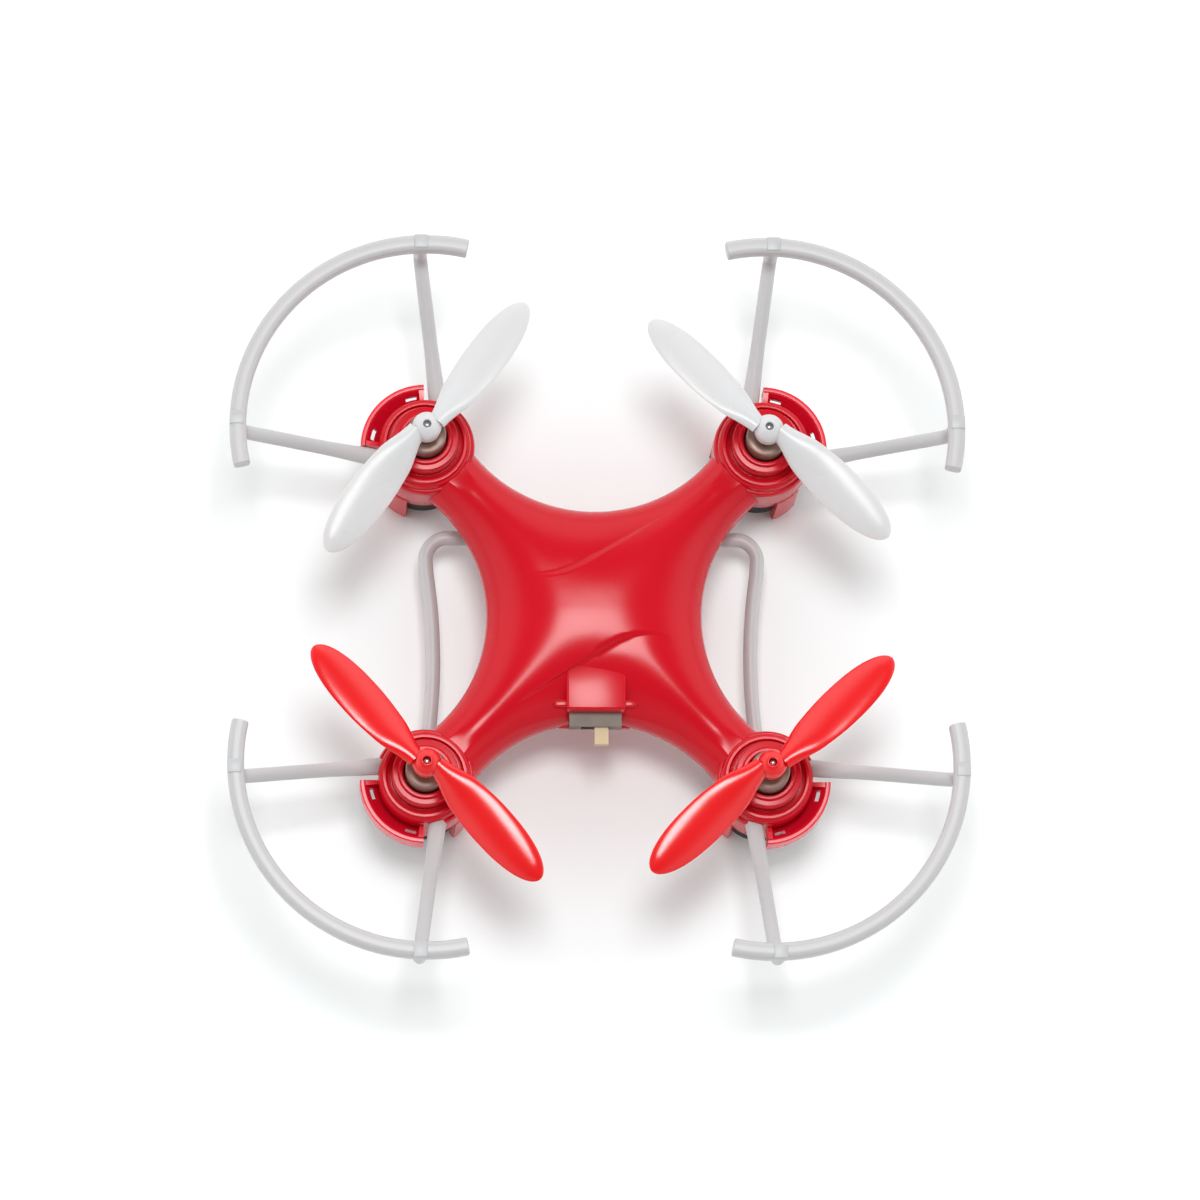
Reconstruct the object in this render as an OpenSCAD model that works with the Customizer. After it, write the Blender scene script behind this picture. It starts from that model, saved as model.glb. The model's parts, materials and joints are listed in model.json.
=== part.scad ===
// Mini palm drone: an X-shaped body with four motor pods, two-blade propellers and
// snap-on propeller guards. Millimetres, +Z up, +Y is the front. The origin is on the
// ground under the middle of the body.

/* [Layout] */
// Distance of every motor axis from both centre planes
motor_offset = 16.9; // [16.8:0.1:17.1]
// Height of the top of the propeller hubs
hub_top = 20.6; // [20.4:0.1:21]

/* [Body shells] */
// Half width of the body at its narrow waist
waist = 10.75; // [10.6:0.05:10.8]
// Radius of the four hollow sides in plan
side_arc_r = 15.15; // [15:0.05:15.3]
// Highest point of the dome
dome_top = 14.2; // [14.1:0.1:14.6]
// Lowest point of the belly
belly = 5.4; // [5.4:0.1:5.6]
// Height of the seam between the two shells
seam = 9; // [9:0.1:9.2]
// Wall thickness of the shells
wall = 0.9; // [0.8:0.1:1]

/* [Motors] */
// Radius of a motor can
can_r = 2; // [1.9:0.05:2.05]
// Radius of a motor shaft
shaft_r = 0.4; // [0.35:0.05:0.5]
// Radial running clearance of a shaft in its bush and end cap
shaft_gap = 0.04; // [0.02:0.01:0.08]
// Outer radius of a motor pod
pod_r = 4.6; // [4.5:0.1:4.6]

/* [Propellers] */
// Radius at the blade tips
prop_r = 16; // [14.6:0.1:16.2]
// Widest chord of a blade
chord = 4.5; // [4:0.1:5]
// Pitch angle at the blade root
root_pitch = 24; // [18:1:28]
// Pitch angle at the blade tip
tip_pitch = 12; // [8:1:16]

/* [Guards] */
// Outer radius of a guard arc, measured from its motor axis
guard_r = 19.45; // [19.3:0.05:19.5]
// Width of a guard arc's section
guard_w = 1.65; // [1.5:0.05:1.8]
// Height of a guard arc's section
guard_h = 2; // [1.9:0.1:2.2]
// Radius of the struts under a guard arc
strut_r = 0.7; // [0.6:0.05:0.75]
// Radius of the brace rod
brace_r = 0.68; // [0.6:0.02:0.7]

/* [Power switch] */
// Travel of the knob
knob_travel = 1.2; // [0.8:0.1:1.2]
// Width of the knob
knob_w = 1.4; // [1.2:0.1:1.5]

/* [Hidden] */
$fn = 64;
corners = ["front_left", "front_right", "rear_left", "rear_right"];
corner_side = [[-1, 1], [1, 1], [-1, -1], [1, -1]];
blade_heading = [53.4, 135.8, 132.6, 43.2];
blade_turn = [-1, 1, 1, -1];
corner_parts = [
    "motor_pod", "lamp_lens", "motor_can", "motor_end_cap", "motor_plug",
    "motor_bush", "motor_shaft", "propeller", "guard_arc", "guard_struts"
];

// Body shells
side_centre = waist + side_arc_r;
dome_r = 92;
arm_reach = 22.4;
arm_cavity_reach = 18.4;
top_edge = [8, 5];
belly_edge = [3, 2];
edge_steps = 8;
big = 60;
screw_at = [10.4, 7.4];
screw_top = 11.2;
screw_shank_r = 0.5;
screw_head_r = 1.1;
screw_head_h = 0.7;
screw_head_z = 6.4;
boss_r = 1.3;

// Switch
switch_x = 0;
switch_w = 5.2;
switch_h = 1.5;
switch_z = 10;
switch_front = -8;
switch_rear = -11.6;
switch_skin = 0.25;
slide_gap = 0.1;
knob_x = switch_x + knob_travel / 2;
knob_h = 0.85;
knob_tip = -13.3;
slider_w = 2.2;
slider_d = 1.2;
hood_top = 12.6;
hood_front = -4.8;
hood_rear = -10.2;
hood_wall = 0.35;
ledge = [1.6, 1, 1.5];
ledge_at = [3.5, -9.3, 12.1];
switch_shelf = [7.2, 1.2, 0.8];

// Motor stack, from the ground up
leg_r = 5;
leg_t = 0.8;
leg_top = 7;
leg_span = 30;
leg_turn = 100;
plug_r = 4.1;
plug_bottom = 0.4;
plug_bevel = 0.5;
pod_bottom = 5.2;
end_cap_top = 7.6;
can_top = 16.4;
can_skin = 0.25;
rotor_r = 1.5;
bush_r = 0.9;
bush_top = 16.9;
bush_h = 1.5;
shaft_bottom = 6.8;
pod_shoulder = 12.6;
ring_r = 4;
ring_w = 0.4;
ring_top = 13;
groove_z = 12.5;
boss_ring_r = 3.25;
boss_top = 14.8;
lead_r = 0.25;
lead_gap = 0.45;
lead_reach = 10.8;
lead_low_z = 6.9;
lead_bend = [3.2, 8.7];
lead_end_z = 7.7;
lead_pocket = [3.9, 1.8, 2.8];
lead_channel = [8, 1.8, 1];

// Lamp lens, a crescent trough outside each pod
lens_r = 6.4;
lens_t = 0.6;
lens_bottom = 8.2;
lens_top = 11.2;
lens_span = 86;
lens_end = 6;
slot_angle = 30;
slot_size = [0.5, 1.3];
slot_from_pod = 0.45;

// Propeller
hub_r = 1.45;
hub_h = 2.6;
blade_z = hub_top - 1.25;
blade_root = 0.9;
blade_lead = [0.6, 0.25];
blade_stations = 14;
blade_sides = 12;

// Guards
arc_mid_r = guard_r - guard_w / 2;
arc_top = 20.4;
arc_mid_z = arc_top - guard_h / 2;
arc_span = 115;
strut_root = [3.5, -1.4];
strut_head = [arc_mid_r, 0.6];
strut_slope = 14;
strut_bend = 1.6;
strut_end_z = 14.4;
joint_swell = 0.04;
brace_z = 4.5;
brace_y = 9.1;
brace_bend = 2.2;
brace_bow_r = 60;
brace_bow_x = 15.9;
brace_bow_y = -3.55;
brace_half_bow = 9.6;
clip_x = 3.5;
clip_size = [1.6, 2.6, 2.5];

// Circuit board and battery
board = [14, 15.6, 0.8];
board_top = 8;
battery = [12.6, 11, 3.6];
battery_z = 8.4;
board_rise = 0.5;
supply_gap = 0.1;
pad_size = [11, 8];
antenna_x = -6.7;
socket = [5, 2.4, 1.5];
socket_front = 10.2;
socket_skin = 0.4;

// ---- helpers ----

module at_corner(i) {
    mirror([corner_side[i][0] < 0 ? 1 : 0, 0, 0])
    mirror([0, corner_side[i][1] < 0 ? 1 : 0, 0])
    translate([motor_offset, motor_offset, 0])
    children();
}

// A ring or disc sector between two radii and two heights
module tube(r_in, r_out, z_low, z_high) {
    difference() {
        translate([0, 0, z_low]) cylinder(r = r_out, h = z_high - z_low);
        translate([0, 0, z_low - 1]) cylinder(r = r_in, h = z_high - z_low + 2);
    }
}

// The same, but only over a span of degrees centred on the outward diagonal
module arc_wall(r_in, r_out, z_low, z_high, span) {
    translate([0, 0, z_low])
    rotate([0, 0, 45 - span / 2])
    rotate_extrude(angle = span)
    translate([r_in, 0])
    square([r_out - r_in, z_high - z_low]);
}

module centred_box(size, x, y, z_low) {
    translate([x - size[0] / 2, y - size[1] / 2, z_low]) cube(size);
}

// Round rod between two points
module rod(a, b, r) {
    d = b - a;
    run = norm([d[0], d[1]]);
    translate(a)
    rotate([0, atan2(run, d[2]), atan2(d[1], d[0])])
    cylinder(r = r, h = norm(d));
}

// ---- body shells ----

// Removes one edge of the body as a quarter ellipse, swept round a hollow side
module edge_cutter(inset, size, level, up) {
    start = side_arc_r + inset;
    curve = [
        for (i = [0:edge_steps]) let (t = 90 * i / edge_steps)
        [start + size[0] * (1 - cos(t)), level + up * size[1] * sin(t)]
    ];
    rotate_extrude()
    polygon(concat(
        [[start - 3, level]], curve,
        [[start + size[0], level + up * 9], [start - 3, level + up * 9]]
    ));
}

// The closed outer shape of the two shells together, shrunk all over by an inset
module body_solid(inset, reach) {
    difference() {
        intersection() {
            translate([0, 0, belly + inset])
            cylinder(r = reach, h = dome_top - belly - 2 * inset);
            translate([0, 0, dome_top - dome_r]) sphere(r = dome_r - inset);
            translate([0, 0, belly + dome_r]) sphere(r = dome_r - inset);
        }
        for (a = [0:90:270])
            rotate([0, 0, a])
            translate([0, side_centre, 0]) {
                translate([0, 0, -1]) cylinder(r = side_arc_r + inset, h = big);
                edge_cutter(inset, top_edge, dome_top - top_edge[1] - inset, 1);
                edge_cutter(inset, belly_edge, belly + belly_edge[1] + inset, -1);
            }
    }
}

module shell_blank() {
    difference() {
        body_solid(0, arm_reach);
        body_solid(wall, arm_cavity_reach);
        for (i = [0:3])
            at_corner(i) cylinder(r = pod_r, h = big);
    }
}

// Places something at each of the four case screws
module at_screws() {
    for (x = [-screw_at[0], screw_at[0]], y = [-screw_at[1], screw_at[1]])
        translate([x, y, 0]) children();
}

module screw_bosses(z_low, z_high) {
    at_screws() translate([0, 0, z_low]) cylinder(r = boss_r, h = z_high - z_low);
}

module screw_holes() {
    at_screws() {
        cylinder(r = screw_head_r, h = screw_head_z + screw_head_h);
        cylinder(r = screw_shank_r, h = screw_top);
    }
}

// The way of a motor's leads up inside its pod and into the arm, just under the seam
module lead_way() {
    for (size = [lead_pocket, lead_channel])
        rotate([0, 0, 225])
        translate([0, -size[1] / 2, seam - size[2]])
        cube(size);
}

module switch_pocket() {
    centred_box([switch_w, big, switch_h], switch_x, switch_front - big / 2, switch_z);
}

module switch_hood() {
    difference() {
        centred_box(
            [switch_w + 2 * hood_wall, hood_front - hood_rear, hood_top - seam],
            switch_x, (hood_front + hood_rear) / 2, seam
        );
        body_solid(wall, arm_cavity_reach);
    }
    for (side = [-1, 1])
        centred_box(ledge, switch_x + side * ledge_at[0], ledge_at[1], ledge_at[2] - ledge[2]);
}

module top_shell() {
    color([0.8, 0.1, 0.16])
    difference() {
        union() {
            intersection() {
                shell_blank();
                translate([-big / 2, -big / 2, seam]) cube(big);
            }
            intersection() {
                screw_bosses(seam, screw_top + 0.6);
                body_solid(wall / 2, arm_cavity_reach);
            }
            switch_hood();
        }
        screw_holes();
        switch_pocket();
    }
}

module bottom_shell() {
    color([0.78, 0.09, 0.15])
    difference() {
        union() {
            intersection() {
                shell_blank();
                translate([-big / 2, -big / 2, 0]) cube([big, big, seam]);
            }
            intersection() {
                screw_bosses(belly, seam);
                body_solid(wall / 2, arm_cavity_reach);
            }
            for (x = [-clip_x, clip_x])
                centred_box(clip_size, x, brace_y, brace_z - 1);
            centred_box(switch_shelf, switch_x, -waist + 0.15, seam - switch_shelf[2]);
        }
        screw_holes();
        rod([-big, brace_y, brace_z], [big, brace_y, brace_z], brace_r);
        centred_box([socket[0], 4, socket[2]], 0, socket_front, board_top - board_rise);
        for (i = [0:3])
            at_corner(i) lead_way();
    }
}

module case_screws() {
    color("silver")
    at_screws()
    translate([0, 0, screw_head_z]) {
        difference() {
            cylinder(r = screw_head_r, h = screw_head_h);
            centred_box([1.5, 0.3, 0.6], 0, 0, -0.3);
            centred_box([0.3, 1.5, 0.6], 0, 0, -0.3);
        }
        cylinder(r = screw_shank_r, h = screw_top - screw_head_z - 0.2);
    }
}

// ---- electronics ----

module circuit_board() {
    color("darkgreen")
    centred_box(board, 0, 0, board_top - board[2]);
}

module chip(size, x, y) {
    color([0.1, 0.1, 0.1])
    centred_box(size, x, y, board_top - board[2] - size[2]);
}

module battery() {
    color([0.75, 0.75, 0.78])
    centred_box(battery, 0, 0, battery_z);
}

module battery_pad() {
    color([0.2, 0.2, 0.2])
    centred_box([pad_size[0], pad_size[1], battery_z - board_top], 0, 0, board_top);
}

// A pair of leads from every motor end cap, up into the arm and on to the edge of the board
module motor_leads() {
    board_end = norm([motor_offset, motor_offset]) - lead_reach;
    color([0.15, 0.3, 0.8])
    for (i = [0:3], y = [-lead_gap, lead_gap])
        at_corner(i)
        rotate([0, 0, 225]) {
            rod([can_r + lead_r, y, lead_low_z], [lead_bend[0], y, lead_bend[1]], lead_r);
            translate([lead_bend[0], y, lead_bend[1]]) sphere(r = lead_r + joint_swell);
            rod([lead_bend[0], y, lead_bend[1]], [board_end, y, lead_end_z], lead_r);
        }
}

// Two leads from the switch and two from the battery down to the board
module supply_leads() {
    end_z = board_top + supply_gap;
    battery_front = battery[1] / 2;
    color([0.8, 0.1, 0.1])
    for (x = [-1, 1]) {
        rod([x, switch_front + 0.3, switch_z + 0.5], [x, switch_front + 0.6, end_z], lead_r);
        rod([x, battery_front + 0.3, battery_z + 1.4], [x, battery_front + 1, end_z], lead_r);
    }
}

module antenna_wire() {
    color([0.1, 0.1, 0.1])
    rod([antenna_x, 3, board_top + lead_r], [antenna_x, -6, board_top + lead_r], lead_r);
}

module charge_socket() {
    color([0.9, 0.9, 0.88])
    translate([0, 0, board_top - board_rise])
    difference() {
        centred_box(socket, 0, socket_front - socket[1] / 2, 0);
        centred_box(
            [socket[0] - 2 * socket_skin, 2, socket[2] - 2 * socket_skin],
            0, socket_front - 0.5, socket_skin
        );
    }
}

module switch_case() {
    inner_w = switch_w - 2 * switch_skin;
    inner_d = switch_front - switch_rear - 2 * switch_skin;
    slot_w = knob_w + knob_travel + 2 * slide_gap;
    color([0.72, 0.72, 0.7])
    difference() {
        centred_box(
            [switch_w, switch_front - switch_rear, switch_h],
            switch_x, (switch_front + switch_rear) / 2, switch_z
        );
        centred_box(
            [inner_w, inner_d, switch_h - 2 * switch_skin],
            switch_x, (switch_front + switch_rear) / 2, switch_z + switch_skin
        );
        centred_box(
            [slot_w, 2, knob_h + slide_gap],
            switch_x, switch_rear, switch_z + (switch_h - knob_h - slide_gap) / 2
        );
    }
}

module switch_knob() {
    knob_low = switch_z + (switch_h - knob_h) / 2;
    color([0.93, 0.87, 0.72]) {
        centred_box(
            [slider_w, slider_d, knob_h - 0.05],
            knob_x, switch_rear + switch_skin + slide_gap + slider_d / 2, knob_low
        );
        translate([knob_x - knob_w / 2, knob_tip, knob_low])
        cube([knob_w, switch_rear + 1 - knob_tip, knob_h]);
    }
}

// ---- motors and pods, drawn about a motor axis with the outward diagonal at 45 degrees ----

module motor_pod() {
    color([0.8, 0.1, 0.16])
    difference() {
        union() {
            rotate_extrude()
            polygon([
                [0, pod_bottom], [pod_r, pod_bottom], [pod_r, pod_shoulder],
                [ring_r + ring_w / 2, ring_top], [ring_r - ring_w / 2, ring_top],
                [boss_ring_r, groove_z], [boss_ring_r, boss_top - 0.25],
                [boss_ring_r - 0.25, boss_top], [0, boss_top]
            ]);
            for (turn = [-leg_turn, leg_turn])
                rotate([0, 0, turn])
                arc_wall(leg_r - leg_t, leg_r, 0, leg_top, leg_span);
        }
        cylinder(r = can_r, h = big);
        lead_way();
    }
}

module lamp_lens() {
    color([0.95, 0.12, 0.2])
    difference() {
        arc_wall(pod_r, lens_r, lens_bottom, lens_top, lens_span);
        arc_wall(pod_r - 1, lens_r - lens_t, lens_bottom + lens_t, big, lens_span - 2 * lens_end);
        for (side = [-1, 1])
            rotate([0, 0, 45 + side * slot_angle])
            centred_box([slot_size[0], slot_size[1], big], pod_r + slot_from_pod, 0, 0);
    }
}

module lamp_chips() {
    color([0.95, 0.95, 0.8])
    for (i = [0:3])
        at_corner(i)
        rotate([0, 0, 45])
        centred_box([0.5, 1.6, 0.6], pod_r + 0.45, 0, lens_bottom + lens_t);
}

module motor_can() {
    color([0.75, 0.72, 0.68])
    difference() {
        translate([0, 0, end_cap_top]) cylinder(r = can_r, h = can_top - end_cap_top);
        translate([0, 0, end_cap_top - 1])
        cylinder(r = can_r - can_skin, h = can_top - can_skin - end_cap_top + 0.5);
        cylinder(r = bush_r, h = big);
    }
}

module motor_end_cap() {
    color([0.12, 0.12, 0.12])
    tube(shaft_r + shaft_gap, can_r, pod_bottom, end_cap_top);
}

module motor_plug() {
    color([0.08, 0.08, 0.08])
    rotate_extrude()
    polygon([
        [0, plug_bottom], [plug_r - plug_bevel, plug_bottom],
        [plug_r, plug_bottom + plug_bevel],
        [plug_r, pod_bottom], [0, pod_bottom]
    ]);
}

module motor_bush() {
    color([0.8, 0.65, 0.35])
    tube(shaft_r + shaft_gap, bush_r, bush_top - bush_h, bush_top);
}

module motor_shaft() {
    color([0.7, 0.7, 0.72]) {
        translate([0, 0, shaft_bottom]) cylinder(r = shaft_r, h = hub_top - 0.4 - shaft_bottom);
        translate([0, 0, end_cap_top + 0.4])
        cylinder(r = rotor_r, h = bush_top - bush_h - 0.3 - end_cap_top - 0.4);
    }
}

// ---- propellers ----

// 0 below low, 1 above high and an even S between them
function ease(value, low, high) =
    let (t = min(1, max(0, (value - low) / (high - low))))
    t * t * (3 - 2 * t);

// Chord at a share s of the way from the blade's root to its tip
function chord_at(s) =
    let (taper = max(0, (s - 0.5) / 0.5))
    chord * (0.42 + 0.38 * ease(s, 0, 0.2) + 0.2 * ease(s, 0.1, 0.5))
    * sqrt(max(0.002, 1 - pow(taper, 2.4)));

function thickness_at(s) = 1.1 - 0.6 * min(1, s * 1.6);

// One closed blade section: a cambered ellipse turned by its pitch angle
function blade_section(s) =
    let (
        c = chord_at(s),
        h = thickness_at(s) * (s > 0.96 ? 0.6 : 1),
        pitch = root_pitch + (tip_pitch - root_pitch) * s
    )
    [
        for (k = [0:blade_sides - 1])
        let (
            t = 360 * k / blade_sides,
            y = c / 2 * cos(t) + blade_lead[0] - blade_lead[1] * s,
            z = h / 2 * sin(t) + 0.06 * c * sin(t) * sin(t)
        )
        [
            blade_root + s * (prop_r - blade_root),
            y * cos(pitch) - z * sin(pitch),
            y * sin(pitch) + z * cos(pitch)
        ]
    ];

// Closed skin over a row of rings that all have the same number of points
module loft(rings) {
    n = len(rings[0]);
    last = len(rings) - 1;
    polyhedron(
        points = [for (ring = rings, p = ring) p],
        faces = concat(
            [[for (k = [0:n - 1]) k]],
            [
                for (i = [0:last - 1], k = [0:n - 1])
                let (a = i * n + k, b = i * n + (k + 1) % n)
                [a, a + n, b + n, b]
            ],
            [[for (k = [n - 1:-1:0]) last * n + k]]
        )
    );
}

module blade() {
    loft([
        for (i = [0:blade_stations - 1])
        blade_section(sin(90 * i / (blade_stations - 1)))
    ]);
}

module propeller(i) {
    turn = blade_turn[i];
    color(i < 2 ? [0.93, 0.93, 0.94] : [0.9, 0.1, 0.14])
    translate([corner_side[i][0] * motor_offset, corner_side[i][1] * motor_offset, 0])
    difference() {
        union() {
            translate([0, 0, hub_top - hub_h]) cylinder(r = hub_r, h = hub_h);
            for (flip = [0, 180])
                translate([0, 0, blade_z])
                rotate([0, 0, blade_heading[i] + flip])
                mirror([0, turn < 0 ? 1 : 0, 0])
                blade();
        }
        cylinder(r = shaft_r, h = big);
    }
}

// ---- guards ----

module guard_arc() {
    flat = guard_h - guard_w;
    color([0.9, 0.91, 0.92])
    rotate([0, 0, 45 - arc_span / 2])
    rotate_extrude(angle = arc_span)
    translate([arc_mid_r, arc_mid_z]) {
        translate([-guard_w / 2, -flat / 2]) square([guard_w, flat]);
        for (y = [-flat / 2, flat / 2])
            translate([0, y]) circle(r = guard_w / 2);
    }
}

// A sloping rod out of the pod that turns up into the arc, in the local XZ plane
module strut() {
    run = norm(strut_head - strut_root);
    heading = atan2(strut_head[1] - strut_root[1], strut_head[0] - strut_root[0]);
    bend_x = run - strut_bend;
    bend_z = strut_end_z + strut_bend;
    low_x = bend_x + strut_bend * sin(strut_slope);
    low_z = bend_z - strut_bend * cos(strut_slope);
    translate([strut_root[0], strut_root[1], 0])
    rotate([0, 0, heading]) {
        rod([0, 0, low_z - tan(strut_slope) * low_x], [low_x, 0, low_z], strut_r);
        translate([low_x, 0, low_z]) sphere(r = strut_r + joint_swell);
        translate([run, 0, bend_z]) sphere(r = strut_r + joint_swell);
        translate([bend_x, 0, bend_z])
        rotate([90, 0, 0])
        rotate([0, 0, strut_slope - 90])
        rotate_extrude(angle = 90 - strut_slope)
        translate([strut_bend, 0])
        circle(r = strut_r);
        translate([run, 0, bend_z])
        cylinder(r = strut_r, h = arc_mid_z - bend_z);
    }
}

module guard_struts() {
    color([0.88, 0.88, 0.89])
    difference() {
        union() {
            strut();
            mirror([1, -1, 0]) strut();
        }
        cylinder(r = pod_r, h = big);
    }
}

module brace_side() {
    bow_centre = brace_bow_x + brace_bow_r;
    half_angle = asin(brace_half_bow / brace_bow_r);
    end_x = bow_centre - brace_bow_r * cos(half_angle);
    translate([bow_centre, brace_bow_y, brace_z])
    rotate([0, 0, 180 - half_angle])
    rotate_extrude(angle = 2 * half_angle)
    translate([brace_bow_r, 0])
    circle(r = brace_r);
    translate([end_x, brace_y - brace_bend, brace_z]) sphere(r = brace_r + joint_swell);
    translate([end_x - brace_bend, brace_y - brace_bend, brace_z])
    rotate_extrude(angle = 90)
    translate([brace_bend, 0])
    circle(r = brace_r);
    rod([0, brace_y, brace_z], [end_x - brace_bend, brace_y, brace_z], brace_r);
}

module brace() {
    color([0.88, 0.88, 0.89])
    difference() {
        union() {
            brace_side();
            mirror([1, 0, 0]) brace_side();
        }
        for (i = [2, 3])
            at_corner(i) cylinder(r = plug_r, h = big);
    }
}

// ---- nodes ----

top_shell();
bottom_shell();
case_screws();
circuit_board();
chip([5, 5, 0.7], 0, 1);  // control_chip
chip([3.6, 2.4, 0.6], 0, -4.6);  // radio_chip
chip([2.5, 2.5, 0.6], 4.8, 1);  // gyro_chip
battery();
battery_pad();
motor_leads();
supply_leads();
antenna_wire();
lamp_chips();
charge_socket();
switch_case();
switch_knob();
brace();
for (i = [0:3]) {
    at_corner(i) motor_pod();
    at_corner(i) lamp_lens();
    at_corner(i) motor_can();
    at_corner(i) motor_end_cap();
    at_corner(i) motor_plug();
    at_corner(i) motor_bush();
    at_corner(i) motor_shaft();
    propeller(i);
    at_corner(i) guard_arc();
    at_corner(i) guard_struts();
}
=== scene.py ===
"""Mini palm drone: the looks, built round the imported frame.

Shape functions work in millimetres and piece() turns them into metres. A corner's shapes are
drawn about its motor axis with the outward diagonal at 45 degrees, and mirrored into place.
"""
import json
import math

import bmesh
import bpy
from mathutils import Matrix, Vector


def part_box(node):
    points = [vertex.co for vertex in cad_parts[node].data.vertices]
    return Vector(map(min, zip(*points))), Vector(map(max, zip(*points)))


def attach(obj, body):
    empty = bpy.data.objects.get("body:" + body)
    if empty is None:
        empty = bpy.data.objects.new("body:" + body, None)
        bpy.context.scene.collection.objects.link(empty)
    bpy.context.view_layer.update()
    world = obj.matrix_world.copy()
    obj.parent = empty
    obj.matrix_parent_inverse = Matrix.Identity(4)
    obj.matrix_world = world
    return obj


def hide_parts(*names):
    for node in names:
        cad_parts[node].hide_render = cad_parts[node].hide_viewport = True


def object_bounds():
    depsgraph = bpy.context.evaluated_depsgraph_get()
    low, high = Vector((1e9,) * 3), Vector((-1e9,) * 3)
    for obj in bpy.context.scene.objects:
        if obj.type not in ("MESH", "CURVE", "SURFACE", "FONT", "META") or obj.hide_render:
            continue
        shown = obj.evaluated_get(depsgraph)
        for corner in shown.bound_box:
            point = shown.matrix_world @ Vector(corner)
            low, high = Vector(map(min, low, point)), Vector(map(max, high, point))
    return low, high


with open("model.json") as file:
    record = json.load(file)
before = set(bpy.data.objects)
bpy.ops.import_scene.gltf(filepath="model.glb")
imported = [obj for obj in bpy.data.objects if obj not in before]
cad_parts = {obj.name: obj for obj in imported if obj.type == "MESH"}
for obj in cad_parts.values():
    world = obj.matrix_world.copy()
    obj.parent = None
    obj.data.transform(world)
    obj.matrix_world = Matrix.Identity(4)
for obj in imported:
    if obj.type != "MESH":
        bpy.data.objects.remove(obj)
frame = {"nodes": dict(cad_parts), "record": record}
cad_low, cad_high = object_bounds()

MM = 0.001
CORNERS = {
    "front_left": (-1, 1),
    "front_right": (1, 1),
    "rear_left": (-1, -1),
    "rear_right": (1, -1),
}


def node_box(node):
    """Lowest and highest corner of a CAD node, in millimetres."""
    low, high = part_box(node)
    return low / MM, high / MM


CAN_LOW, CAN_HIGH = node_box("motor_can_front_right")
MOTOR = (CAN_LOW.x + CAN_HIGH.x) / 2
CAN_R = (CAN_HIGH.x - CAN_LOW.x) / 2
SEAM = node_box("bottom_shell")[1].z
DOME_TOP = node_box("top_shell")[1].z

# Plan of the body: four hollow sides, each an arc about a point on an axis
WAIST = 10.75
SIDE_R = 15.15
SIDE_CENTRE = WAIST + SIDE_R


# ---- shape helpers ----


def smooth(value, low, high):
    """0 below low, 1 above high and an even S between them."""
    t = min(max((value - low) / (high - low), 0), 1)
    return t * t * (3 - 2 * t)


def zip_rows(bm, first, second):
    """Triangles between two rows of points that run the same way but differ in number."""
    i = j = 0
    a, b = len(first) - 1, len(second) - 1
    while i < a or j < b:
        if j == b or (i < a and (i + 1) * b <= (j + 1) * a):
            bm.faces.new((first[i], first[i + 1], second[j]))
            i += 1
        else:
            bm.faces.new((first[i], second[j + 1], second[j]))
            j += 1


def skin_rings(bm, rings, closed=False, caps=True):
    """Quads over a row of rings with the same number of points."""
    made = [[bm.verts.new(p) for p in ring] for ring in rings]
    count = len(made[0])
    last = len(made) if closed else len(made) - 1
    for i in range(last):
        here, there = made[i], made[(i + 1) % len(made)]
        for k in range(count):
            bm.faces.new((here[k], here[(k + 1) % count], there[(k + 1) % count], there[k]))
    if caps and not closed:
        bm.faces.new(reversed(made[0]))
        bm.faces.new(made[-1])
    return made


def rounded(points, radius, steps=4):
    """A closed outline with its corners turned into arcs, none longer than its edges allow."""
    out = []
    count = len(points)
    for i, corner in enumerate(points):
        here = Vector(corner)
        before = Vector(points[i - 1]) - here
        after = Vector(points[(i + 1) % count]) - here
        cut = min(radius, before.length * 0.45, after.length * 0.45)
        a, b = here + before.normalized() * cut, here + after.normalized() * cut
        for k in range(steps + 1):
            t = k / steps
            out.append(a * (1 - t) ** 2 + here * (2 * t * (1 - t)) + b * t ** 2)
    return out


def lathe(bm, outline, steps=96, middle=0.0, span=360.0):
    """Turns a closed (radius, height) outline about Z; a part turn gets flat ends."""
    closed = span >= 360
    count = steps if closed else steps + 1
    rings = []
    for i in range(count):
        a = math.radians(middle - span / 2 + span * i / steps)
        rings.append([(r * math.cos(a), r * math.sin(a), z) for r, z in outline])
    skin_rings(bm, rings, closed=closed)


def sweep(bm, path, section):
    """Carries a section along a path; section(i, share) gives its (side, up) points there."""
    points = [Vector(p) for p in path]
    last = len(points) - 1
    up = Vector((0, 0, 1))
    rings = []
    for i, p in enumerate(points):
        along = (points[min(i + 1, last)] - points[max(i - 1, 0)]).normalized()
        side = along.cross(up)
        side = side.normalized() if side.length > 0.2 else along.orthogonal().normalized()
        if i:
            side = (keep - along * keep.dot(along)).normalized()
        keep = side
        lift = side.cross(along)
        rings.append([p + side * a + lift * b for a, b in section(i, i / last)])
    skin_rings(bm, rings)


def circle(radius, count=20, wide=1.0, high=1.0):
    return [
        (radius * wide * math.cos(2 * math.pi * k / count), radius * high * math.sin(2 * math.pi * k / count))
        for k in range(count)
    ]


def arc_points(centre, radius, start, end, steps):
    """Points of an arc in plan, from one angle in degrees to another."""
    out = []
    for i in range(steps + 1):
        a = math.radians(start + (end - start) * i / steps)
        out.append((centre[0] + radius * math.cos(a), centre[1] + radius * math.sin(a)))
    return out


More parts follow.
